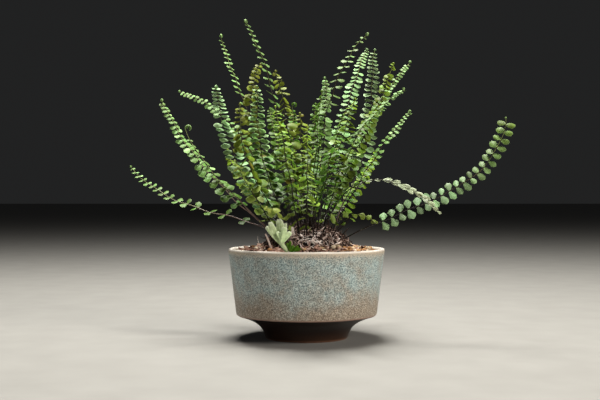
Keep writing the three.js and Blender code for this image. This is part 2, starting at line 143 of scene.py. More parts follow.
# Young leaves at the front edge of the pot. The pale one has two leaflets on one stalk.
YOUNG_STALK = [(-12.3, -56, 66), (-13.6, -57.5, 71), (-15.6, -58.2, 74.5), (-18, -58.4, 78),
               (-20, -58.4, 82)]
YOUNG_STALK_WIDTHS = [2.0, 2.6, 3.2, 4.4, 3.0]
YOUNG_LEAF_THICKNESS = 0.35
# Their fans: the finish (0 pale, 1 fresh), the root, the length, the lobes, how far the fan is cut
# back between them, the tone, and how far it tips forward, in degrees. A lobe is its middle and
# half its width as angles from straight up in degrees, more to the left where larger, and its
# reach. The reach and the cut are shares of the length.
YOUNG_FANS = [
    # The first fan's low tone makes it darker than the second, which stands in front of it:
    # painted shade.
    (0, (-18.2, -57.8, 76), 23.5,
     [(38, 5, 0.94), (27.5, 7, 1.0), (8.5, 9, 1.0), (-4.5, 5, 0.86)], 0.76, 0.35, 2),
    (0, (-19.3, -59, 79.6), 14.2,
     [(20, 8, 0.74), (-9, 13, 1.0), (-34, 12, 0.84)], 0.66, 0.8, 14),
    (1, (-12.8, -59.4, 72.6), 10,
     [(16, 11, 0.86), (1, 9, 1.0), (-21, 11, 0.7), (-45, 12, 0.84), (-64, 11, 0.9)], 0.5, 0.5, 6),
]

# What a frond has where its row gives nothing else. bare is the stalk without leaflets, and
# bare_tip the same below the rolled-up tip. leaf scales the leaflets, and growth is the size of
# the lowest ones as a share, and how far up they reach the full size. ripe is high where they
# keep their size up to the tip. pitch is the space from pair to pair in the middle of the frond,
# and sparse says how much wider it is at the bottom. lost is the share of leaflets that have
# dropped off. slim narrows them, fan makes them wedge-shaped and lobed, and curl rolls their
# sides up. turn is the share by which they face the light rather than the blade's own way, and
# facing is where that light is. droop is how far they hang down from the stalk and sweep how far
# they point to its tip, in degrees, and unrest is how much they differ in the way they face. knob
# is the radius of the rolled-up tip, and coil_axis the direction about which it rolls where that
# isn't the blade's own. stalk names the stalk's finish.
USUAL_FROND = dict(
    bare=26, bare_tip=0, leaf=1, growth=(0.72, 0.08), ripe=3.5, pitch=LEAFLET_PITCH, sparse=0.5,
    lost=0.03, slim=1, fan=0.35, curl=0, turn=0.72, facing=SKYWARD, droop=14, sweep=12,
    unrest=0.25, knob=0.9, coil_axis=None, stalk="wiry")


def row(azimuth, roll, path, tint, **own):
    """One frond. azimuth is the direction in which it leans, in degrees from +X towards +Y, and
    roll turns its blade about its own stalk. path holds the four control points of its curve as
    distance from the pot's axis and height, where the first one's height comes from the crown."""
    return SimpleNamespace(azimuth=azimuth, roll=roll, path=path, tint=tint,
                           **{**USUAL_FROND, **own})


FRONDS = [
    # The long low ones and the tall ones that make the outline seen from the front
    row(160, -72, (28, (52, 106), (120, 96), (165, 143)), "mint", bare=30, leaf=1.12, pitch=7.8,
        sparse=1.4, facing=(0.05, -0.3, 0.95), turn=0.94, droop=-4, fan=0.5, ripe=1.3, unrest=0.16,
        slim=1.1, stalk="sheen_and_weathered"),
    row(184, -60, (26, (60, 112), (100, 150), (119, 196)), "mint", bare=40, leaf=1.25, pitch=5.3,
        sparse=0.6, facing=(0.3, -0.45, 0.84), ripe=1.6, droop=10, unrest=0.12, knob=1.1,
        stalk="sheen_and_weathered"),
    row(203, 60, (27, (58, 112), (92, 140), (104, 170)), "mint", bare=40, leaf=0.92, pitch=7,
        sparse=0.3, facing=(0.3, -0.55, 0.8), turn=0.9, ripe=2, unrest=0.12, knob=2.6,
        coil_axis=(0, -1, 0), bare_tip=8, stalk="sheen_and_weathered"),
    row(166, -62, (16, (42, 150), (62, 191), (112, 207)), "mint", bare=24, leaf=1.1, pitch=5.8,
        facing=(0.05, -0.75, 0.66), turn=0.9, droop=8, ripe=1.1, unrest=0.16),
    row(186, 65, (18, (52, 122), (70, 165), (75, 207)), "silver", bare=20, leaf=1.3, pitch=4.5,
        facing=(0.05, -0.6, 0.8), turn=0.9, droop=0, unrest=0.1, slim=0.95, knob=1.6),
    row(132, -30, (15, (42, 142), (90, 205), (116, 263)), "mint", bare=30, leaf=1.1, pitch=7.4,
        facing=(0.5, -0.38, 0.8), turn=0.92, droop=2, ripe=1.5, unrest=0.12, knob=1.9),
    row(217, 50, (14, (31, 160), (24, 205), (61, 255)), "mint", bare=30, leaf=1.1, pitch=7.4,
        facing=(0.5, -0.38, 0.8), turn=0.92, droop=2, ripe=1.6, unrest=0.12, knob=1.9),
    row(148, -40, (17, (56, 140), (66, 205), (46, 230)), "bronze", leaf=1.2, pitch=4.4),
    row(342, 78, (31, (82, 111), (158, 118), (163, 178)), "sage", bare=37, leaf=1.02, pitch=6.2,
        sparse=0.3, facing=(-0.2, -0.76, 0.62), turn=0.92, droop=3, fan=0.55, ripe=70, unrest=0.08,
        slim=0.88, growth=(1.14, 0.5), knob=0.5, lost=0),
    row(329, 82, (18, (35, 139), (78, 142), (120, 104)), "withered", bare=50, leaf=1.5, pitch=8.6,
        sparse=-0.2, turn=0.2, sweep=80, droop=-4, curl=0.2, slim=0.5, growth=(0.3, 0.5), ripe=2,
        unrest=0.07, knob=0.3),
    row(318, -42, (7, (10, 165), (27, 221), (63, 244)), "mint", bare=30, leaf=1.1, pitch=7.2,
        facing=(-0.1, -0.5, 0.86), turn=0.88, droop=4, ripe=2, unrest=0.16, knob=1.6),
    row(54, 30, (16, (38, 150), (62, 205), (93, 250)), "silver", bare=52, leaf=1.05, pitch=4.5,
        unrest=0.1, knob=1.1),
    row(36, 40, (22, (82, 160), (66, 205), (74, 245)), "silver", bare=56, leaf=1.1, pitch=4.6,
        facing=(0.1, -0.5, 0.86), turn=0.9, droop=0, unrest=0.08),
    row(353, 62, (11, (26, 130), (60, 185), (72, 226)), "bright", bare=28),
    row(15, 55, (16, (40, 140), (62, 205), (92, 231)), "mint", bare=34, leaf=0.95, ripe=1.4,
        knob=1.2),
    row(315, -35, (19, (38, 148), (60, 180), (103, 197)), "mint", bare=24, leaf=1.1, ripe=1.2,
        fan=0.6, knob=1.1),
    row(344, 66, (22, (40, 122), (62, 160), (87, 185)), "mint", bare=30, pitch=4.7,
        facing=(-0.3, -0.42, 0.86), turn=0.9, droop=0, ripe=2, slim=0.85, unrest=0.1, knob=1.1),
    # The middle of the clump
    row(196, 52, (13, (42, 138), (43, 175), (42, 207)), "mint", leaf=1.25, pitch=4.4,
        facing=(0.1, -0.55, 0.84), turn=0.88, droop=4, unrest=0.1),
    row(222, 38, (19, (58, 125), (74, 155), (70, 189)), "bronze", leaf=1.25, pitch=4.6, turn=0.88,
        unrest=0.36, slim=1.12, knob=1.2),
    row(248, 14, (12, (30, 140), (44, 190), (64, 213)), "bronze", leaf=1.22, pitch=4.8, turn=0.95,
        unrest=0.34, slim=1.12),
    row(110, 10, (5, (18, 130), (36, 165), (35, 196)), "deep", knob=2.2, coil_axis=(0, -1, 0),
        bare_tip=4),
    row(255, 5, (4, (6, 125), (19, 155), (22, 184)), "bronze", bare=32, turn=0.95, ripe=6),
    row(62, 20, (9, (28, 140), (40, 185), (34, 219)), "mint", unrest=0.12),
    row(82, 5, (15, (32, 135), (56, 165), (58, 199)), "deep"),
    # Short leafy ones low at the front
    row(222, 40, (29, (44, 104), (58, 118), (76, 144)), "lime", bare=10, leaf=1.15, pitch=5.4,
        sparse=0.6, fan=0.4, unrest=0.35, slim=1.1),
    row(242, 14, (29, (40, 100), (52, 108), (66, 108)), "yellow", leaf=1.15, bare=8, pitch=8,
        turn=0.9, facing=(-0.2, -0.9, 0.4), fan=1, unrest=0.3),
    row(314, -32, (29, (44, 103), (60, 108), (76, 96)), "olive", leaf=0.85, bare=14, pitch=8,
        turn=0.8, facing=(0.1, -0.9, 0.4), fan=1, unrest=0.45),
    # Leaning to the front
    row(270, 0, (26, (52, 112), (84, 132), (107, 166)), "bright"),
    row(287, -8, (26, (44, 125), (66, 158), (92, 176)), "deep"),
    row(256, 8, (25, (50, 125), (72, 156), (96, 182)), "bright"),
    row(282, 0, (12, (30, 140), (42, 172), (54, 198)), "deep", bare=34),
    row(303, -20, (19, (36, 136), (54, 170), (68, 192)), "bright", bare=28, leaf=1.25, pitch=4.8,
        fan=0.8),
    # Leaning to the back
    row(98, 0, (26, (56, 116), (86, 140), (106, 176)), "bright"),
    row(113, -10, (24, (48, 128), (66, 165), (84, 196)), "deep"),
    row(128, -36, (27, (62, 110), (98, 128), (118, 160)), "bright"),
    row(84, 8, (27, (58, 116), (88, 136), (104, 166)), "bright"),
    row(70, 14, (28, (62, 110), (94, 122), (110, 150)), "deep"),
    row(55, 26, (28, (60, 112), (92, 128), (112, 158)), "bright"),
]

# Leaf colours: the name of the finish, the slot, the colours of old, grown and young leaflets,
# of the rim and of the lower face, and the strength of the rim where it isn't the usual one.
# The old colour is darker partly with age and partly as painted shade of the leaves above, the
# lower face's colour is darker as painted shade, and a pale rim is partly painted highlight.
LEAF_TINTS = {
    "bright": ("bright_green_frond", "leaflet_green",
               "#1e3202", "#4a6a08", "#74961c", "#98b046", "#4a641c"),
    "mint": ("mint_green_frond", "leaflet_green",
             "#203a08", "#4a741e", "#84aa66", "#a4c282", "#466624"),
    "deep": ("deep_green_frond", "leaflet_green",
             "#162e02", "#305606", "#4c7414", "#6a8c30", "#3a5a1a"),
    "lime": ("lime_green_frond", "leaflet_green",
             "#7c9838", "#87a442", "#a2b852", "#c6d48a", "#748c44"),
    "sage": ("sage_green_frond", "leaflet_green",
             "#86a670", "#84a67c", "#5c7c0c", "#98b880", "#5e8250"),
    "silver": ("silvery_green_frond", "leaflet_silver",
               "#456a2c", "#70985a", "#90b67a", "#b0cc9c", "#5a7e4c"),
    "yellow": ("yellow_green_frond", "leaflet_yellow",
               "#7c9234", "#82983a", "#a2b44a", "#c6d07f", "#7a8a40"),
    "olive": ("olive_green_frond", "leaflet_yellow",
              "#4e6818", "#56701a", "#849a40", "#9aac58", "#556828"),
    "bronze": ("bronze_young_frond", "leaflet_bronze",
               "#223808", "#4c6e12", "#788826", "#76682c", "#5a6624", 0.35),
    "withered": ("withered_frond", "leaflet_withered",
                 "#a8b690", "#c4d0b0", "#aeba90", "#e0e8d0", "#b0bc98"),
    "fresh": ("fresh_green_leaf", "leaflet_silver",
              "#345c08", "#3a660a", "#4e7a18", "#7a9c34", "#466620"),
    # The pale young leaf's nearly white rim is painted highlight along the edges of its lobes.
    "pale": ("pale_young_leaf", "leaflet_silver",
             "#9ab876", "#c0d69c", "#d0e2b2", "#f6faea", "#a6bc88", 0.5),
}

# Camera and picture: it looks level along +Y, at the height at which the lens stood
CAMERA_PLACE = (-5.4, -830, 114)
LENS_MM = 60
SENSOR_MM = 36

# Lights: name, place, size, power in watts and colour. All of them point at the same place.
LIGHTS = [
    ("overhead", (-50, 150, 1300), 400, 37, "#fffdf6"),
    ("front_right", (1100, -900, 750), 500, 16, "#fff8ee"),
    ("fill", (-1100, -600, 500), 900, 0.6, "#eef4ff"),
]
LIGHT_AIM = (0, 0, 120)
ROOM_LIGHT = 0.018
FLOOR_HALF_WIDTH = 30000


# Helpers for numbers and shapes

def unit(vector):
    return vector / np.linalg.norm(vector)


def crown_height(radius):
    """Height of the crown's dome at a distance from the pot's axis."""
    share = min(1, radius / CROWN_RADIUS)
    return CROWN_EDGE_HEIGHT + (CROWN_TOP_HEIGHT - CROWN_EDGE_HEIGHT) * (1 - share ** 2.5)


def inner_radius(height):
    """The pot's inner wall, as radius at a height."""
    slope = (RIM_RADIUS - BODY_FOOT_RADIUS) / (POT_HEIGHT - BODY_FOOT_HEIGHT)
    return BODY_FOOT_RADIUS - POT_WALL + slope * (height - BODY_FOOT_HEIGHT)


def mix_height(radius):
    """Height of the potting mix, which is heaped a little towards the crown."""
    edge = inner_radius(MIX_EDGE_HEIGHT)
    share = min(1, max(0, (radius - CROWN_RADIUS) / (edge - CROWN_RADIUS)))
    return MIX_HEAP_HEIGHT + (MIX_EDGE_HEIGHT - MIX_HEAP_HEIGHT) * share


def rough(point, size, strength):
    """Smooth noise of a given feature size at a point, from -strength to strength."""
    return strength * noise.noise(Vector(point) / size)


class Shape:
    """Points, faces and marks of one mesh while it is put together."""

    def __init__(self):
        self.points = []
        self.faces = []
        self.finishes = []
        self.places = []
        self.lives = []
        self.count = 0

    def add(self, points, faces, finish=0, place=None, life=None):
        """Adds a closed body. place and life are marks that the leaf finishes read."""
        points = np.asarray(points, float)
        self.points.append(points)
        self.faces.extend([[corner + self.count for corner in face] for face in faces])
        self.finishes.extend([finish] * len(faces))
        blank = np.zeros((len(points), 3))
        self.places.append(blank if place is None else np.broadcast_to(place, points.shape))
        self.lives.append(blank if life is None else np.broadcast_to(life, points.shape))
        self.count += len(points)


def new_object(name, data):
    made = bpy.data.objects.new(name, data)
    bpy.context.scene.collection.objects.link(made)
    return made


def make_piece(name, shape, finishes, node, crease):
    """Turns a shape into a piece that stands for a node of the frame. Edges sharper than the
    crease, in degrees, are kept sharp."""
    mesh = bpy.data.meshes.new(name)
    mesh.from_pydata((np.concatenate(shape.points) * MM).tolist(), [], shape.faces)
    for finish in finishes:
        mesh.materials.append(finish)
    mesh.polygons.foreach_set("material_index", shape.finishes)
    for mark, values in (("blade_place", shape.places), ("leaf_life", shape.lives)):
        attribute = mesh.attributes.new(mark, "FLOAT_VECTOR", "POINT")
        attribute.data.foreach_set("vector", np.concatenate(values).astype(np.float32).ravel())
    mesh.polygons.foreach_set("use_smooth", [True] * len(mesh.polygons))
    mesh.set_sharp_from_angle(angle=math.radians(crease))
    mesh.update()
    piece = new_object(name, mesh)
    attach(piece, "root")
    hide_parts(node)


def bezier(controls, shares):
    """Points of a smooth curve with the given control points, at shares of its run."""
    shares = np.asarray(shares)[:, None]
    points = [np.asarray(control, float) for control in controls]
    while len(points) > 1:
        points = [here + (there - here) * shares for here, there in zip(points, points[1:])]
    return points[0]


def turning(angle, first, second):
    """A turn by an angle from the first axis towards the second."""
    turn = np.eye(3)
    turn[[first, second], [first, second]] = math.cos(angle)
    turn[first, second] = -math.sin(angle)
    turn[second, first] = math.sin(angle)
    return turn


def ring_faces(rings, sides, steps):
    """Faces from each ring of points to the next, for a number of steps."""
    faces = []
    for step in range(steps):
        here = step * sides
        above = (step + 1) % rings * sides
        for side in range(sides):
            following = (side + 1) % sides
            faces.append([here + side, here + following, above + following, above + side])
    return faces


def swept(centres, sides_way, up_way, half_width, half_height, sides):
    """A closed body of oval sections along a line, with points and faces."""
    centres = np.asarray(centres, float)
    rings = len(centres)
    angles = 2 * math.pi * np.arange(sides) / sides
    wide = np.broadcast_to(np.asarray(half_width, float), rings)[:, None, None]
    high = np.broadcast_to(np.asarray(half_height, float), rings)[:, None, None]
    across = np.broadcast_to(sides_way, (rings, 3))[:, None, :]
    upward = np.broadcast_to(up_way, (rings, 3))[:, None, :]
    cosines = np.cos(angles)[None, :, None]
    sines = np.sin(angles)[None, :, None]
    points = centres[:, None, :] + across * wide * cosines + upward * high * sines
    faces = ring_faces(rings, sides, rings - 1)
    last = (rings - 1) * sides
    faces.append(list(reversed(range(sides))))
    faces.append(list(range(last, last + sides)))
    return points.reshape(-1, 3), faces


def turned(profile, sides, rugged=(), bumps=()):
    """A body turned about the pot's axis from a closed profile of radius and height. The rings
    with the numbers in rugged are made uneven by bumps of the given sizes and strengths."""
    points = []
    for ring, (radius, height) in enumerate(profile):
        for side in range(sides):
            angle = 2 * math.pi * side / sides
            point = [radius * math.cos(angle), radius * math.sin(angle), height]
            if ring in rugged:
                point[2] += sum(rough(point, size, strength) for size, strength in bumps)
            points.append(point)
    return points, ring_faces(len(profile), sides, len(profile))


def rugged_body(rng, profile, sides, rugged, bumps, tones):
    """A turned, uneven body as a shape, with each point in a tone of its own."""
    points, faces = turned(profile, sides, rugged, bumps)
    shape = Shape()
    shape.add(points, faces, life=np.outer(rng.uniform(*tones, len(points)), (1, 0, 0)))
    return shape


def rounded(corners):
    """A closed profile with each corner rounded. A corner is its radius from the axis, its
    height and the length that the rounding takes off both of its sides."""
    profile = []
    for index, (*corner, cut) in enumerate(corners):
        corner = np.array(corner, float)
        ends = []
        for neighbour in (corners[index - 1], corners[(index + 1) % len(corners)]):
            way = np.array(neighbour[:2], float) - corner
            ends.append(corner + unit(way) * min(cut, np.linalg.norm(way) * 0.48))
        profile.extend(bezier([ends[0], corner, ends[1]], np.linspace(0, 1, CORNER_STEPS + 1)))
    return profile


def ball(subdivisions):
    """Points and faces of a round body of even triangles with radius 1."""
    made = bmesh.new()
    bmesh.ops.create_icosphere(made, subdivisions=subdivisions, radius=1)
    points = np.array([vertex.co for vertex in made.verts])
    faces = [[vertex.index for vertex in face.verts] for face in made.faces]
    made.free()
    return points, faces


def disc_points(steps):
    """A grid of points that fills a circle of radius 1."""
    line = np.linspace(-1, 1, steps + 1)
    u, v = np.meshgrid(line, line, indexing="ij")
    grid = np.stack([u * np.sqrt(1 - v ** 2 / 2), v * np.sqrt(1 - u ** 2 / 2)], axis=-1)
    return grid.reshape(-1, 2)


def sheet(rows, columns, turned_over=False):
    """Four-sided faces of a grid of points, and the corners along its edge in order."""
    line = columns + 1
    faces = [[r * line + c, r * line + c + 1, (r + 1) * line + c + 1, (r + 1) * line + c]
             for r in range(rows) for c in range(columns)]
    edge = [*range(columns), *[r * line + columns for r in range(rows)],
            *[rows * line + c for c in range(columns, 0, -1)],
            *[r * line for r in range(rows, 0, -1)]]
    if turned_over:
        faces = [[face[0], *face[:0:-1]] for face in faces]
        edge = [edge[0], *edge[:0:-1]]
    return faces, edge


def two_faced(faces, edge, count):
    """Faces of a thin closed blade from those of its sheet. Its upper points come first."""
    lower = [[corner + count for corner in reversed(face)] for face in faces]
    rim = []
    for index, corner in enumerate(edge):
        following = edge[(index + 1) % len(edge)]
        rim.append([following, corner, corner + count, following + count])
    return faces + lower + rim


# Finishes. Colours are given as sRGB hex values.

# Inputs and the output of a node that mixes colours
FACTOR = 0
FIRST = 6
SECOND = 7
BLENDED = 2


def paint(hex_colour):
    """An sRGB hex colour as linear values."""
    channels = [int(hex_colour[start:start + 2], 16) / 255 for start in (1, 3, 5)]
    linear = [c / 12.92 if c <= 0.04045 else ((c + 0.055) / 1.055) ** 2.4 for c in channels]
    return (*linear, 1.0)


def join(tree, node, inputs):
    """Sets or links a node's inputs. A colour may be given as a hex value."""
    for name, value in inputs.items():
        if isinstance(value, bpy.types.NodeSocket):
            tree.links.new(value, node.inputs[name])
        else:
            plain = paint(value) if isinstance(value, str) else value
            node.inputs[name].default_value = plain


def add(tree, kind, inputs, **settings):
    """Adds one shader node with its settings and its inputs."""
    node = tree.nodes.new("ShaderNode" + kind)
    for name, value in settings.items():
        setattr(node, name, value)
    join(tree, node, inputs)
    return node


def field(tree, place, size, detail, roughness=0.5):
    """Soft noise with features of a size in millimetres."""
    return add(tree, "TexNoise", {"Vector": place, "Scale": 1 / size, "Detail": detail,
                                  "Roughness": roughness}).outputs[0]


def ranged(tree, value, low, high, to_low=0, to_high=1, **settings):
    """Takes a value from one range to another and keeps it inside."""
    return add(tree, "MapRange", {"Value": value, "From Min": low, "From Max": high,
                                  "To Min": to_low, "To Max": to_high}, **settings).outputs[0]


def worked_out(tree, operation, first, second=0):
    """A sum, a product or the like of two values."""
    return add(tree, "Math", {0: first, 1: second}, operation=operation).outputs[0]


def blend(tree, share, first, second):
    """A colour between two colours."""
    return add(tree, "Mix", {FACTOR: share, FIRST: first, SECOND: second},
               data_type="RGBA").outputs[BLENDED]


def ramp(tree, value, stops):
    """A colour for a value, from stops of position and hex colour."""
    node = add(tree, "ValToRGB", {0: value})
    elements = node.color_ramp.elements
    for index, (position, colour) in enumerate(stops):
        element = elements[index] if index < 2 else elements.new(position)
        element.position = position
        element.color = paint(colour)
    return node.outputs[0]


def marks(tree, name):
    """The three values of a mark that a mesh carries on its points."""
    mark = add(tree, "Attribute", {}, attribute_name=name).outputs["Vector"]
    return add(tree, "SeparateXYZ", {0: mark}).outputs


def new_finish(name):
    """A material with its tree, its shader and the place on the object in millimetres."""
    material = bpy.data.materials.new(name)
    material.use_nodes = True
    tree = material.node_tree
    place = add(tree, "TexCoord", {}).outputs["Object"]
    scaled = add(tree, "VectorMath", {0: place, "Scale": 1 / MM}, operation="SCALE").outputs[0]
    return material, tree, tree.nodes["Principled BSDF"], scaled


def ash_glazed_stoneware():
    """Matt ash glaze over thrown stoneware. Crystals in it show as soft flecks of 1 to 1.5 mm,
    pale blue grey above, and it breaks to greyish tan where it thinned out below and in loose
    patches, and to cream on the lip. The foot below the edge has a glossy dark iron glaze."""
    material, tree, shader, place = new_finish("ash_glazed_stoneware")
    height = add(tree, "SeparateXYZ", {0: place}).outputs["Z"]
    zone_size, patch_size, fleck_size = 34, 13, 0.9
    zones = field(tree, place, zone_size, 4, 0.65)
    patches = field(tree, place, patch_size, 5, 0.7)
    flecks = field(tree, place, fleck_size, 1.5, 0.7)
    blue = ramp(tree, flecks, [
        (0.34, "#5a6a6b"), (0.45, "#8ea3a4"), (0.54, "#b4c6c5"), (0.67, "#dde8e4")])
    tan = ramp(tree, flecks, [
        (0.34, "#6e5f52"), (0.47, "#928270"), (0.57, "#b0a28f"), (0.68, "#d8ccbb")])
    # The tan zone's upper edge is soft and wanders, and brown patches stand above it.
    wander = ranged(tree, zones, 0.3, 0.7, 13, -13)
    lifted = worked_out(tree, "ADD", height, wander)
    glazed = ranged(tree, lifted, 21, 46, interpolation_type="SMOOTHSTEP")
    covered = ranged(tree, patches, 0.66, 0.42, 0.35, 1)
    body = blend(tree, worked_out(tree, "MULTIPLY", glazed, covered), tan, blue)
    # The lip is cream, and the glaze under it breaks to pale brown through its flecks.
    fleck_lift = ranged(tree, flecks, 0.35, 0.65, -1.6, 1.6)
    flecked = worked_out(tree, "ADD", height, fleck_lift)
    under_lip = ranged(tree, flecked, POT_HEIGHT - 6, POT_HEIGHT - 1.5)
    breaking = blend(tree, under_lip, body, "#cfbda6")
    on_lip = ranged(tree, height, POT_HEIGHT - 1.8, POT_HEIGHT - 1.1)
    lipped = blend(tree, on_lip, breaking, "#fbf2e6")
    # A thin pinkish line marks the lower edge, where the glaze ran off the clay.
    off_edge = ranged(tree, height, BODY_FOOT_HEIGHT + 0.2, BODY_FOOT_HEIGHT + 1.6)
    edged = blend(tree, off_edge, "#a8897a", lipped)
    iron = ramp(tree, ranged(tree, height, 0, BODY_FOOT_HEIGHT), [
        (0.03, "#6e4c38"), (0.1, "#38200f"), (0.45, "#26140b"), (0.9, "#160b05")])
    above = ranged(tree, height, BODY_FOOT_HEIGHT - 0.5, BODY_FOOT_HEIGHT)
    relief = add(tree, "Bump", {"Height": flecks, "Strength": 0.35, "Distance": 0.06 * MM})
    join(tree, shader, {"Base Color": blend(tree, above, iron, edged),
                        "Roughness": ranged(tree, above, 0, 1, 0.3, 0.5),
                        "Normal": relief.outputs[0], "IOR": 1.52})
    return material


def scattered_finish(name, stops, grain_size, roughness, depth):
    """A dry natural surface. Each scrap takes its own colour from the stops, and a grain of the
    given size in millimetres runs over it."""
    material, tree, shader, place = new_finish(name)
    own = marks(tree, "leaf_life")["X"]
    grain = field(tree, place, grain_size, 4, 0.65)
    shifted = worked_out(tree, "ADD", own, ranged(tree, grain, 0.3, 0.7, -0.22, 0.22))
    relief = add(tree, "Bump", {"Height": grain, "Strength": 0.8, "Distance": depth * MM})
    join(tree, shader, {"Base Color": ramp(tree, shifted, stops), "Roughness": roughness,
                        "Normal": relief.outputs[0], "Specular IOR Level": 0.25})
    return material


def damp_fibrous_mix():
    """Fine dark compost between the chips: nearly black where it is damp, with brown fibre."""
    return scattered_finish("damp_fibrous_mix", [
        (0.0, "#1c120d"), (0.35, "#33221a"), (0.7, "#5a4031"), (1.0, "#83644e")], 1.6, 0.95, 0.5)


def pine_bark():
    """Composted pine bark: pinkish to reddish brown corky chips with paler broken faces."""
    return scattered_finish("composted_pine_bark", [
        (0.0, "#3c251d"), (0.35, "#845f50"), (0.7, "#b99584"), (1.0, "#eed6c7")], 1.2, 0.85, 0.35)


def pumice():
    """Crushed pumice: cream and orange-tan grains with open pores."""
    return scattered_finish("crushed_pumice", [
        (0.0, "#8f6444"), (0.35, "#b58658"), (0.7, "#d0b48e"), (1.0, "#eadfca")], 0.7, 0.9, 0.3)


def dry_litter():
    """Dead frond scraps and scales: papery straw, pinkish and brown strips with faint fibres."""
    return scattered_finish("dry_fern_litter", [
        (0.0, "#140b08"), (0.3, "#4a3329"), (0.55, "#a08477"), (0.8, "#e2cec4"),
        (1.0, "#f8eee8")], 0.9, 0.7, 0.08)


def rhizome_scales():
    """The mound's own skin: dark brown scales and root hairs, nearly black in the gaps."""
    return scattered_finish("scaly_rhizome", [
        (0.0, "#0c0604"), (0.4, "#1e110b"), (0.75, "#3a241a"), (1.0, "#5c3f30")], 1.1, 0.9, 0.6)


def stalk_finish(name, stops):
    """A maidenhair's wiry stalk: hard and smooth, and greener where it is young at the tip. The
    stops give its colour from the root to the tip."""
    material, tree, shader, place = new_finish(name)
    age = marks(tree, "leaf_life")["Y"]
    streaks = field(tree, place, 2.5, 2)
    shifted = worked_out(tree, "ADD", age, ranged(tree, streaks, 0, 1, -0.12, 0.12))
    join(tree, shader, {"Base Color": ramp(tree, shifted, stops), "Roughness": 0.35,
                        "Specular IOR Level": 0.35})
    return material


def leaflet_finish(name, old_and_shaded, grown, young, rim, underside, rim_strength=0.4):
    """Thin soft fern leaf. The upper face has a waxy half gloss, veins that fan out from the
    leaflet's root and a rim, browned on the bronze fronds and paler on the others; the paler rim
    is partly painted highlight along the edge. The lower face is dull; on the real leaf it is
    paler, but here its colour is mostly darker than the upper face's, as painted shade. Old
    leaflets low on a frond are darker than the young ones at its tip, partly with age and partly
    as painted shade of the leaves above them. Real veins lie 0.3 mm apart; here they are twice
    as coarse, so that some of them show."""
    material, tree, shader, place = new_finish(name)
    own, age, edge = marks(tree, "leaf_life")
    across, out, below = marks(tree, "blade_place")
    # Painted shade: leaflets low on the frond, under the leaves above, take the darker old colour,
    # which is partly their age.
    colour = ramp(tree, age, [(0.14, old_and_shaded), (0.42, grown), (1.0, young)])
    fan_root = 2.5
    veins_per_radian = 75
    behind = worked_out(tree, "ADD", out, fan_root)
    angle = worked_out(tree, "ARCTAN2", across, behind)
    vein = worked_out(tree, "SINE", worked_out(tree, "MULTIPLY", angle, veins_per_radian))
    veined = blend(tree, ranged(tree, vein, 0.4, 1, 0, 0.2), colour, rim)
    # Toward the edge the colour turns to the rim colour: browned on the bronze fronds, and paler
    # on the others, where it is partly painted highlight along the edge.
    rimmed = blend(tree, ranged(tree, edge, 0.62, 1, 0, rim_strength), veined, rim)
    faded = blend(tree, ranged(tree, own, 1, 1.5, 0, 0.75), rimmed, rim)
    # Painted shade: the lower face takes the underside colour, mostly darker than the upper
    # face's, though the real lower face is paler.
    faced = blend(tree, below, faded, underside)
    # A faded leaflet is pale already, so it isn't made lighter by its own tone.
    tone = worked_out(tree, "MINIMUM", own, 0.9)
    mottled = worked_out(tree, "ADD", tone, field(tree, place, 2.2, 3))
    toned = add(tree, "HueSaturation", {
        "Color": faced, "Value": ranged(tree, mottled, 0.3, 1.6, 0.34, 1.4),
        "Hue": ranged(tree, own, 0, 1, 0.48, 0.512)}).outputs[0]
    relief = add(tree, "Bump", {"Height": vein, "Strength": 0.3, "Distance": 0.05 * MM})
    join(tree, shader, {"Base Color": toned, "Roughness": ranged(tree, below, 0, 1, 0.46, 0.62),
                        "Normal": relief.outputs[0], "Specular IOR Level": 0.2})
    return material


LEAF_FINISHES = {tint: leaflet_finish(name, *colours)
                 for tint, (name, slot, *colours) in LEAF_TINTS.items()}
STALK_FINISHES = {
    "wiry": stalk_finish("polished_black_stalk", [
        (0.0, "#0e0806"), (0.5, "#1c100a"), (0.74, "#463c22"), (0.94, "#869250")]),
    # Paler grey-brown stalk: on the old stalks in the litter it is their weathered colour, and on
    # the long low fronds it is partly painted sheen of the gloss on their dark stalks.
    "sheen_and_weathered": stalk_finish("worn_and_sheened_stalk", [
        (0.0, "#3a2420"), (0.25, "#6b554c"), (0.6, "#85805f"), (0.88, "#93a060")]),
}


# The pot

def pot_profile():
    """Clockwise from the drain hole's lower edge: foot ring, flared foot, body, lip, inside."""
    ring_inner = POT_FOOT_RADIUS - FOOT_RING_WIDTH
    return rounded([
        (DRAIN_RADIUS, FOOT_RING_HEIGHT, 0.6),
        (ring_inner, FOOT_RING_HEIGHT, 1.0),
        (ring_inner + 0.3, 0, 0.5),
        (POT_FOOT_RADIUS - 0.3, 0, 0.6),
        (POT_FOOT_RADIUS + 0.8, 3.2, 2),
        (POT_FOOT_RADIUS + 3.6, 9, 4),
        (POT_FOOT_RADIUS + 8.5, 13.2, 4),
        (POT_FOOT_RADIUS + 16, 16.8, 6),
        (BODY_FOOT_RADIUS - 1, BODY_FOOT_HEIGHT - 0.6, 0.5),
        (BODY_FOOT_RADIUS - 0.1, BODY_FOOT_HEIGHT + 0.6, 0.7),
        (RIM_RADIUS - 0.2, POT_HEIGHT - 1.8, 0.8),
        (RIM_RADIUS - 0.5, POT_HEIGHT, 0.8),
        (RIM_RADIUS - RIM_WIDTH + 0.8, POT_HEIGHT, 0.9),
        (RIM_RADIUS - RIM_WIDTH, POT_HEIGHT - 1.5, 1),
        (inner_radius(MIX_EDGE_HEIGHT - 2), MIX_EDGE_HEIGHT - 2, 2),
        (inner_radius(INNER_BEND_HEIGHT), INNER_BEND_HEIGHT, 6),
        (ring_inner, POT_FLOOR, 3),
        (DRAIN_RADIUS, POT_FLOOR, 0.6),
    ])


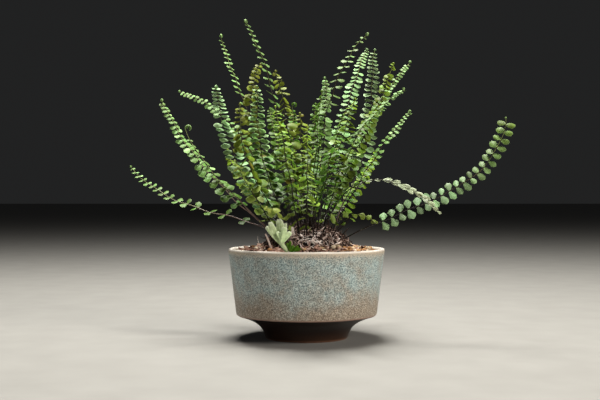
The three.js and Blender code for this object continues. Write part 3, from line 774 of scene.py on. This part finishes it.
def build_pot():
    shape = Shape()
    shape.add(*turned(pot_profile(), POT_SIDES))
    make_piece("stoneware_pot", shape, [ash_glazed_stoneware()], "pot", crease=50)


# Potting mix, bark, pumice and grit

def scrap(rng, template, size, place, tilt, jaggedness):
    """A broken scrap: a ball squeezed to the size, made uneven, tilted and put in its place."""
    lumps = 1 + jaggedness * (rng.random(len(template)) - 0.5)
    points = template * lumps[:, None] * np.asarray(size) / 2
    heading, lean, side = rng.uniform(0, 2 * math.pi), rng.normal(0, tilt), rng.normal(0, tilt)
    turn = turning(heading, 0, 1) @ turning(lean, 1, 2) @ turning(side, 2, 0)
    return points @ turn.T + place


def ring_place(rng, inner, outer):
    """A random place between two circles, even over the area."""
    radius = math.sqrt(rng.uniform(inner ** 2, outer ** 2))
    angle = rng.uniform(0, 2 * math.pi)
    return radius, angle


def build_compost(rng, wall):
    """The mix itself, a little clear of the pot, with its uneven surface."""
    core = 6
    underside = [(core, POT_FLOOR + MIX_GAP), (26, POT_FLOOR + MIX_GAP),
                 (inner_radius(INNER_BEND_HEIGHT) - MIX_GAP - 0.1, INNER_BEND_HEIGHT + MIX_GAP),
                 (wall - MIX_GAP - 0.1, MIX_EDGE_HEIGHT - 3)]
    # It lies a little lower than what is strewn on it, and ends under the crown.
    surface = [(radius, mix_height(radius) - 0.6)
               for radius in np.linspace(wall - MIX_GAP, 24, 30)]
    rugged = range(len(underside), len(underside) + len(surface))
    compost = rugged_body(rng, [*underside, *surface, (core, MIX_HEAP_HEIGHT - 6)], MIX_SIDES,
                          rugged, [(4, 1.0), (1.6, 0.5)], (0.25, 0.6))
    make_piece("compost_surface", compost, [damp_fibrous_mix()], "potting_mix", crease=180)


def strew(rng, name, finish, count, ring, widths, breadths, heights, rise, tilt, jaggedness,
          tones=(0.1, 0.95), roundness=1, crease=25, gathered=False):
    """Loose pieces of one kind on the mix, between the two circles of a ring. Pairs of values
    are the limits of what is drawn. breadths and heights are shares of the width, and rise is
    how far the middle stands above the mix. Where they are gathered, half of them lie at the
    right, towards the front, and rise is a share of the width too."""
    shape = Shape()
    points, faces = ball(roundness)
    for index in range(count):
        radius, angle = ring_place(rng, *ring)
        if gathered and index % 2:
            angle = rng.normal(math.radians(PUMICE_HEADING), math.radians(PUMICE_SPREAD))
            radius = max(radius, CROWN_RADIUS + 8)
        width = rng.uniform(*widths)
        size = (width, width * rng.uniform(*breadths), width * rng.uniform(*heights))
        height = mix_height(radius) + rng.uniform(*rise) * (width if gathered else 1)
        place = np.array([radius * math.cos(angle), radius * math.sin(angle), height])
        body = scrap(rng, points, size, place, tilt, jaggedness)
        shape.add(body, faces, life=[rng.uniform(*tones), 0, 0])
    make_piece(name, shape, [finish], "potting_mix", crease=crease)


def build_mix():
    rng = np.random.default_rng(MIX_SEED)
    wall = inner_radius(MIX_EDGE_HEIGHT)
    build_compost(rng, wall)
    bark = pine_bark()
    strew(rng, "bark_chips", bark, BARK_CHIPS, ring=(CROWN_RADIUS - 3, wall - 4),
          widths=(3, 8.5), breadths=(0.45, 0.8), heights=(0.2, 0.4), rise=(-0.4, 1.8),
          tilt=0.35, jaggedness=0.55)
    strew(rng, "pumice_grains", pumice(), PUMICE_GRAINS, ring=(CROWN_RADIUS, wall - 3),
          widths=(2.2, 6.4), breadths=(0.7, 0.95), heights=(0.6, 0.85), rise=(0, 0.5),
          tilt=0.5, jaggedness=0.16, roundness=2, crease=180, gathered=True)
    strew(rng, "loose_grit", bark, GRIT_GRAINS, ring=(CROWN_RADIUS - 4, wall - 1.5),
          widths=(0.8, 2.4), breadths=(0.5, 0.9), heights=(0.4, 0.8), rise=(-0.3, 0.6),
          tilt=0.6, jaggedness=0.5, tones=(0, 1), crease=30)


# Rhizome crown and its litter

def dome_place(rng, outer):
    """A random place on the crown's dome, with the way up from its surface."""
    radius, angle = ring_place(rng, 0, outer)
    slope = (crown_height(radius + 0.5) - crown_height(radius)) / 0.5
    outward = np.array([math.cos(angle), math.sin(angle), 0])
    place = outward * radius + np.array([0, 0, crown_height(radius)])
    return place, unit(np.array([0, 0, 1]) - slope * outward)


def strip(rng, place, upward, length, width, lift, arch):
    """A thin bent scrap of dry frond that lies on a surface or stands up from it."""
    steps = 6
    share = np.linspace(0, 1, steps)
    heading = rng.normal(size=3)
    heading = unit(heading - upward * heading.dot(upward))
    heading = unit(heading + upward * lift)
    side = unit(np.cross(upward, heading))
    bow = rng.normal(0, 0.12) * length
    centres = (place + np.outer((share - 0.5 * (1 - min(1, lift))) * length, heading)
               + np.outer(4 * share * (1 - share) * arch * length, upward)
               + np.outer(4 * share * (1 - share) * bow, side))
    normal = np.cross(heading, side)
    twist = rng.normal(0, 0.9) * share + rng.uniform(-0.5, 0.5)
    sides_way = np.outer(np.cos(twist), side) + np.outer(np.sin(twist), normal)
    up_way = np.cross(heading, sides_way)
    taper = 0.35 + 0.65 * np.sin(math.pi * (0.12 + 0.76 * share))
    return swept(centres, sides_way, up_way, width / 2 * taper, FLAKE_THICKNESS / 2 * taper, 4)


def build_mound(rng):
    """The crown's dome with its uneven skin, a little lower than the litter on it."""
    core = 1.5
    rings = np.linspace(CROWN_RADIUS, core, 26)
    profile = [(core, CROWN_SEAT_HEIGHT), (CROWN_RADIUS, CROWN_SEAT_HEIGHT),
               *[(radius, crown_height(radius) - 1.0) for radius in rings]]
    mound = rugged_body(rng, profile, CROWN_SIDES, range(3, len(profile)),
                        [(5, 1.3), (1.8, 0.7)], (0.15, 0.6))
    make_piece("rhizome_mound", mound, [rhizome_scales()], "rhizome_crown", crease=180)


def build_litter(rng, litter_finish):
    """Dry scraps on the crown: broad flakes, and more narrow strips."""
    litter = Shape()
    for _ in range(LITTER_FLAKES):
        place, upward = dome_place(rng, CROWN_RADIUS)
        broad = rng.random() < BROAD_FLAKES
        length = rng.uniform(3, 7) if broad else rng.uniform(5, 14)
        width = rng.uniform(1.1, 2.2) if broad else rng.uniform(0.4, 0.9)
        lift = abs(rng.normal(0, 0.25))
        body = strip(rng, place + upward * rng.uniform(-0.4, 1.2), upward, length, width, lift,
                     arch=rng.uniform(0, 0.14))
        # Painted light and shade: scraps high on the crown are darker, as shade of the fronds
        # above, and those low at the front are lighter, as where the light falls on them.
        painted_light_and_shade = 1 - 0.75 * min(1, max(0, (place[2] - 85) / 7))
        in_front = min(1, max(0, -place[1] / 20)) * max(0, 1 - abs(place[0] - 8) / 30)
        painted_light_and_shade *= 0.5 + 0.95 * in_front
        litter.add(*body, life=[rng.beta(0.9, 0.9) * painted_light_and_shade, 0, 0])
    make_piece("dry_litter", litter, [litter_finish], "rhizome_crown", crease=60)


def build_old_stalks(rng):
    """Bases of fronds that have broken off. They lean out from the middle of the crown."""
    remains = Shape()
    for _ in range(DEAD_STALKS):
        place, _ = dome_place(rng, CROWN_RADIUS - 6)
        outward = np.array([place[0], place[1], 0]) / CROWN_RADIUS
        rising = unit(np.array([0, 0, 1]) + 0.7 * outward + rng.normal(0, 0.25, 3))
        length = rng.uniform(7, 24)
        share = np.linspace(-0.06, 1, 7)
        side = unit(np.cross(rising, rng.normal(size=3)))
        bow = rng.normal(0, 0.09) * length
        centres = place + np.outer(share * length, rising) + np.outer(share ** 2 * bow, side)
        half = DEAD_STALK_WIDTH / 2 * (1 - 0.45 * np.clip(share, 0, 1))
        remains.add(*swept(centres, side, np.cross(rising, side), half, half, 5),
                    life=[0.5, rng.uniform(0, 0.5), 0])
    make_piece("old_stalks", remains, [STALK_FINISHES["wiry"]], "rhizome_crown",
               crease=50)


def build_crown(litter_finish):
    rng = np.random.default_rng(CROWN_SEED)
    build_mound(rng)
    build_litter(rng, litter_finish)
    build_old_stalks(rng)


def bent_blade(start, middle, end, width, thickness):
    """A thin blade along a curve, narrower at both ends, with its broad side to the viewer."""
    share = np.linspace(0, 1, 9)
    centres = bezier([start, middle, end], share)
    ahead = np.gradient(centres, axis=0)
    ahead /= np.linalg.norm(ahead, axis=1)[:, None]
    broad = np.cross(ahead, (0, -1, 0))
    broad /= np.linalg.norm(broad, axis=1)[:, None]
    taper = 0.45 + 0.55 * np.sin(math.pi * (0.15 + 0.75 * share))
    return swept(centres, broad, np.cross(ahead, broad), width / 2 * taper,
                 thickness / 2 * taper, 6)


def build_front_scraps(litter_finish):
    rng = np.random.default_rng(SCRAP_SEED)
    shape = Shape()
    for start, middle, end, width, finish, tone in FRONT_SCRAPS:
        body = bent_blade(start, middle, end, width, min(width, 0.5))
        shape.add(*body, finish=finish, life=[tone, 0, 0] if finish == 0 else [0.4, tone, 0.3])
    to_viewer = np.array([0.1, -0.85, 0.5])
    breadth, tone, age = 0.48, 0.7, 0.7
    for root, out, length in LOW_LEAFLETS:
        axes = axes_facing(unit(np.array(out)), to_viewer)
        add_leaflet(shape, rng, np.array(root), axes, length, length * breadth, tone, age,
                    fan=0.3, finishes=(1, 2))
    make_piece("front_scraps", shape,
               [litter_finish, LEAF_FINISHES["olive"], STALK_FINISHES["sheen_and_weathered"]],
               "rhizome_crown", crease=60)


# Fronds

class Stalk:
    """Where a frond's stalk runs, and how its blade stands there."""

    def __init__(self, frond, rng):
        root_radius, *rest = frond.path
        controls = [(root_radius, crown_height(root_radius)), *rest]
        self.points = bezier(controls, np.linspace(0, 1, CURVE_SAMPLES))
        steps = np.linalg.norm(np.diff(self.points, axis=0), axis=1)
        self.lengths = np.concatenate([[0], np.cumsum(steps)])
        self.length = self.lengths[-1]
        azimuth = math.radians(frond.azimuth)
        self.outward = np.array([math.cos(azimuth), math.sin(azimuth), 0])
        self.across = np.array([-math.sin(azimuth), math.cos(azimuth), 0])
        self.roll = math.radians(frond.roll)
        self.phases = rng.uniform(0, 2 * math.pi, 2)
        self.waves = rng.uniform(*SWAY_WAVES, 2)

    def in_plane(self, distance):
        """A place on the curve, in the frond's own plane."""
        return np.array([np.interp(distance, self.lengths, values) for values in self.points.T])

    def at(self, distance):
        """Centre of the stalk with its axes: along it, across the blade, and above the blade.
        It runs on straight below its root."""
        inside = min(max(distance, 0), self.length)
        direction = unit(self.in_plane(min(self.length, inside + 1))
                         - self.in_plane(max(0, inside - 1)))
        point = self.in_plane(inside) + direction * (distance - inside)
        along = self.outward * direction[0] + np.array([0, 0, direction[1]])
        face = np.cross(along, self.across)
        width = self.across * math.cos(self.roll) + face * math.sin(self.roll)
        normal = np.cross(along, width)
        centre = self.outward * point[0] + np.array([0, 0, point[1]])
        sway = STALK_SWAY * min(1, max(0, distance) / 40)
        for way, phase, wave in zip((width, normal), self.phases, self.waves):
            centre = centre + way * sway * math.sin(phase + 2 * math.pi * distance / wave)
        return centre, along, width, normal


def leaflet_size(share, ripe):
    """Leaflets get smaller towards the tip of a frond."""
    return 1 - LEAFLET_SHRINK * share ** ripe


def stalk_width(share):
    """The stalk gets thinner from its root to its tip."""
    return STALK_WIDTH + (TIP_WIDTH - STALK_WIDTH) * share


def pair_places(frond, leafy_length):
    """Distances from the first pair of leaflets at which pairs stand, closer at the tip."""
    places = []
    distance = 0
    while distance < leafy_length - 1:
        places.append(distance)
        share = distance / leafy_length
        distance += (frond.pitch * (1 - PITCH_SHRINK * share ** frond.ripe)
                     * (1 + frond.sparse * (1 - share) ** 2))
    return places


DISC_POINTS = disc_points(LEAFLET_GRID)
BLADE_FACES = two_faced(*sheet(LEAFLET_GRID, LEAFLET_GRID, turned_over=True), len(DISC_POINTS))


def blade_marks(x, y, edge, tone, age):
    """Marks of a thin blade's points, the upper ones first: their place on it with 1 for the
    lower face, and their tone, age and nearness to the rim."""
    count = len(x)
    place = np.stack([np.tile(x, 2), np.tile(y, 2), np.repeat([0.0, 1.0], count)], axis=1)
    life = np.stack([np.full(2 * count, tone), np.full(2 * count, age), np.tile(edge, 2)], axis=1)
    return place, life


def axes_facing(out, wish):
    """The ways across, out of and above a leaflet whose upper face turns towards a wish."""
    above = unit(wish - out * out.dot(wish))
    return np.cross(out, above), out, above


def add_leaflet(shape, rng, root, axes, length, width, tone, age, fan=0.2, curl=0,
                finishes=(0, 1)):
    """One thin leaflet with a short dark stalk of its own. It is arched and slightly folded.
    fan takes it from an oval to a lobed wedge, and curl rolls its sides up. axes are the ways
    across, out of and above it, and finishes are those of its blade and its stalk."""
    across_way, out_way, above_way = axes
    across, out = DISC_POINTS[:, 0], DISC_POINTS[:, 1]
    edge = np.clip(across ** 2 + out ** 2, 0, 1)
    bearing = np.arctan2(across, out)
    lobes = 0.03 * np.cos(bearing * 7 + rng.uniform(0, 6)) + 0.09 * fan * np.cos(bearing * 4.5)
    outline = 1 + lobes * edge ** 4
    share = 0.5 + 0.5 * out * outline
    wedge = 1 - (0.08 + 0.6 * fan) * (1 - np.clip(share / 0.7, 0, 1))
    x = across * outline * wedge * (1 + 0.12 * fan) * (1 - 0.4 * curl) * width / 2
    petiole = (0.02 + 0.08 * fan) * length
    y = petiole + share * (length - petiole)
    fold = rng.uniform(0.0, 0.06) + curl * rng.uniform(0.2, 0.5)
    waves = 0.02 * edge ** 4 * np.sin(bearing * 3 + rng.uniform(0, 6))
    twist = curl * 0.16 * np.sin(share * 5 + rng.uniform(0, 6))
    arch = rng.uniform(0.03, 0.13)
    lift = (fold * np.abs(across) - 0.1 * across ** 2 - arch * share ** 2 + waves + twist) * length
    middle = root + np.outer(x, across_way) + np.outer(y, out_way) + np.outer(lift, above_way)
    half = LEAFLET_THICKNESS / 2 * (1 - 0.4 * edge)
    upper = middle + np.outer(half, above_way)
    lower = middle - np.outer(half, above_way)
    shape.add(np.concatenate([upper, lower]), BLADE_FACES, finishes[0],
              *blade_marks(x, y, edge, tone, age))
    stem = np.array([root, root + out_way * (petiole + 0.1 * length)])
    shape.add(*swept(stem, across_way, above_way, [0.24, 0.14], [0.24, 0.12], 4),
              finish=finishes[1], life=[tone, min(1, age + 0.2), 0])


def leaflet_axes(rng, along, width, normal, side, light, frond):
    """The ways across, out of and above one leaflet. It lies in a plane that is turned from the
    blade's own towards the light, and hangs down a little from its root."""
    sweep = math.radians(rng.normal(frond.sweep, 40 * frond.unrest))
    out = side * width * math.cos(sweep) + along * math.sin(sweep)
    light = unit(light + rng.normal(0, frond.unrest, 3))
    facing = unit(normal * (1 - frond.turn) + light * frond.turn)
    level = unit(out - facing * out.dot(facing))
    hang = math.radians(rng.normal(frond.droop, 45 * frond.unrest))
    out = level * math.cos(hang) - facing * math.sin(hang)
    above = facing * math.cos(hang) + level * math.sin(hang)
    return np.cross(out, above), out, above


def add_coil(shape, rng, stalk, tone, radius, axis=None):
    """The rolled-up tip of a frond, with its small leaflets folded in along it."""
    centre, along, width, normal = stalk.at(stalk.length)
    if axis:
        width = unit(np.array(axis, float) - along * along.dot(axis))
        normal = np.cross(along, width)
    hub = centre + normal * radius
    centres, sections = [], []
    for step in range(COIL_STEPS + 1):
        share = step / COIL_STEPS
        angle = COIL_ANGLE * share
        reach = radius * (1 - COIL_SHRINK * share)
        centres.append(hub - normal * reach * math.cos(angle) + along * reach * math.sin(angle))
        ahead = along * math.cos(angle) + normal * math.sin(angle)
        sections.append(np.cross(ahead, width))
    # It gets thinner inwards, and a larger coil is made of a thicker stalk.
    half = np.linspace(0.42, 0.36, COIL_STEPS + 1) * (0.55 + 0.2 * radius)
    shape.add(*swept(centres, width, np.array(sections), half * 2, half, 6),
              place=[0, 1, 0], life=[tone, 1, 0.95])
    for step in range(1, COIL_STEPS, 3):
        inward = unit(hub - centres[step])
        for side in (1, -1):
            out = unit(side * width + inward * 1.2)
            size = min(0.9 + 0.9 * radius, 2.2) * (1 - 0.35 * step / COIL_STEPS)
            add_leaflet(shape, rng, centres[step], axes_facing(out, inward), size, size * 0.85,
                        tone, 1)


def add_stalk(shape, stalk):
    """The frond's stalk, from a little below the crown's surface to its tip."""
    count = max(12, int(stalk.length / STALK_STEP))
    distances = np.linspace(-STALK_DEPTH + 0.4, stalk.length, count)
    centres, _, widths, normals = zip(*[stalk.at(distance) for distance in distances])
    share = np.clip(distances / stalk.length, 0, 1)
    thickness = STALK_THICKNESS + (TIP_WIDTH - STALK_THICKNESS) * share
    life = np.stack([share * 0 + 0.5, share, share * 0], axis=1).repeat(STALK_SIDES, axis=0)
    shape.add(*swept(centres, np.array(widths), np.array(normals), stalk_width(share) / 2,
                     thickness / 2, STALK_SIDES), finish=1, life=life)


def build_frond(number, frond):
    rng = np.random.default_rng(FROND_SEED + number)
    stalk = Stalk(frond, rng)
    shape = Shape()
    add_stalk(shape, stalk)
    frond_tone = rng.uniform(0.3, 0.7)
    light = unit(np.array(frond.facing) + rng.normal(0, 0.1, 3))
    offset = rng.uniform(0.05, 0.2) * LEAFLET_PITCH
    leafy_length = stalk.length - frond.bare - frond.bare_tip
    smallest, full_size = frond.growth
    for place in pair_places(frond, leafy_length):
        share = place / leafy_length
        size = frond.leaf * leaflet_size(share, frond.ripe)
        size *= smallest + (1 - smallest) * min(1, share / full_size)
        # Low leaflets are more wedge-shaped than those at the tip.
        fan = 0.08 + frond.fan * max(0, 1.2 - 1.3 * share)
        for side in (1, -1):
            if rng.random() < frond.lost:
                continue
            distance = frond.bare + place + side * offset * size / 2
            centre, along, width, normal = stalk.at(distance)
            axes = leaflet_axes(rng, along, width, normal, side, light, frond)
            # It grows from the stalk's side, so that the stalk shows between the two rows.
            stalk_half = stalk_width(distance / stalk.length) / 2
            root = centre + 0.3 * stalk_half * axes[1] + 0.2 * stalk_half * axes[2]
            length = LEAFLET_LENGTH * size * rng.uniform(*LENGTH_SPREAD)
            tone = np.clip(frond_tone + rng.normal(0, 0.22), 0, 1)
            if rng.random() < PALE_LEAFLETS:
                tone = 1.5
            width = length * rng.uniform(*WIDTH_SHARES) * frond.slim
            add_leaflet(shape, rng, root, axes, length, width, tone, distance / stalk.length,
                        fan, frond.curl)
    add_coil(shape, rng, stalk, frond_tone, frond.knob, frond.coil_axis)
    make_piece(f"leafy_frond_{number:02d}", shape,
               [LEAF_FINISHES[frond.tint], STALK_FINISHES[frond.stalk]],
               f"frond_{number:02d}", crease=60)


# Young leaves

def fan_reach(angle, lobes, sinus):
    """How far a fan reaches at an angle. Between its lobes it is cut back to the sinus."""
    reach = 0
    for middle, half_width, length in lobes:
        offset = abs(angle - middle) / half_width
        if offset < 1:
            reach = max(reach, sinus + (length - sinus) * (1 - offset ** 3) ** 0.6)
    return max(reach, sinus) * (1 + 0.012 * math.cos(math.radians(angle * 61)))


def add_fan(shape, finish, root, length, lobes, sinus, tone, lean):
    """A leaf of rounded, cupped lobes that widens from its root and has its upper face towards
    the viewer."""
    first = min(middle - half_width for middle, half_width, _ in lobes)
    last = max(middle + half_width for middle, half_width, _ in lobes)
    columns, rows, age = 72, 12, 0.6
    upper, edges = [], []
    for level in range(rows + 1):
        inner = 0.05 + 0.95 * level / rows
        for column in range(columns + 1):
            degrees = last + (first - last) * column / columns
            angle = math.radians(degrees)
            reach = fan_reach(degrees, lobes, sinus)
            swell = 0.16 * (reach - sinus) * inner ** 4
            fold = 0.05 * inner * math.sin(math.radians(degrees * 7) + 3 * inner)
            curl_back = 0.12 * inner ** 3 + 0.02 * math.sin(9 * inner + degrees / 9)
            upper.append([-math.sin(angle) * reach * inner, curl_back - swell - fold,
                          math.cos(angle) * reach * inner])
            edges.append(inner ** 3)
    upper = np.array(upper) * length
    lower = upper + np.array([0, YOUNG_LEAF_THICKNESS, 0])
    leaned = np.concatenate([upper, lower]) @ turning(math.radians(lean), 1, 2).T
    shape.add(leaned + root, two_faced(*sheet(rows, columns), len(upper)), finish,
              *blade_marks(upper[:, 0], upper[:, 2], edges, tone, age))


def build_young_leaf():
    shape = Shape()
    line = np.array(YOUNG_STALK, float)
    half = np.array(YOUNG_STALK_WIDTHS) / 2
    shape.add(*swept(line, np.array([1, 0, 0]), np.array([0, 1, 0]), half, half * 0.6, 8),
              place=[0, 1, 0], life=[0.5, 0.8, 0.6])
    for fan in YOUNG_FANS:
        add_fan(shape, *fan)
    make_piece("young_leaf_fans", shape, [LEAF_FINISHES["pale"], LEAF_FINISHES["fresh"]],
               "young_leaf", crease=60)


# Camera, light and floor

def build_camera():
    camera = new_object("camera", bpy.data.cameras.new("camera"))
    camera.location = Vector(CAMERA_PLACE) * MM
    camera.rotation_euler = (math.radians(90), 0, 0)
    camera.data.lens = LENS_MM
    camera.data.sensor_width = SENSOR_MM
    camera.data.clip_start = 0.05
    bpy.context.scene.camera = camera


def build_light(name, place, size, power, colour):
    """A soft square light that points at the middle of the plant."""
    light = bpy.data.lights.new(name, "AREA")
    light.size = size * MM
    light.energy = power
    light.color = paint(colour)[:3]
    lamp = new_object(name, light)
    lamp.location = Vector(place) * MM
    way = Vector(LIGHT_AIM) - Vector(place)
    lamp.rotation_euler = way.to_track_quat("-Z", "Y").to_euler()


def build_floor():
    mesh = bpy.data.meshes.new("floor")
    half = FLOOR_HALF_WIDTH * MM
    mesh.from_pydata([(-half, -half, 0), (half, -half, 0), (half, half, 0), (-half, half, 0)],
                     [], [[0, 1, 2, 3]])
    floor = new_object("floor", mesh)
    material, tree, shader, place = new_finish("pale_matt_paper")
    colour = ramp(tree, field(tree, place, 40, 3), [(0.3, "#8f8d89"), (0.7, "#95938f")])
    join(tree, shader, {"Base Color": colour, "Roughness": 0.8})
    floor.data.materials.append(material)


def build_surroundings():
    """A plain pale floor in a dim even room. A soft light stands above the plant, a weaker one
    at the front right, and a very weak one at the left keeps the shadows open."""
    world = bpy.data.worlds.new("dim_room")
    world.use_nodes = True
    join(world.node_tree, world.node_tree.nodes["Background"],
         {"Color": "#eef0f1", "Strength": ROOM_LIGHT})
    bpy.context.scene.world = world
    bpy.context.scene.view_settings.view_transform = "Standard"
    for light in LIGHTS:
        build_light(*light)
    build_floor()


build_camera()
build_surroundings()
build_pot()
build_mix()
litter_finish = dry_litter()
build_crown(litter_finish)
build_front_scraps(litter_finish)
for number, frond in enumerate(FRONDS, start=1):
    build_frond(number, frond)
build_young_leaf()
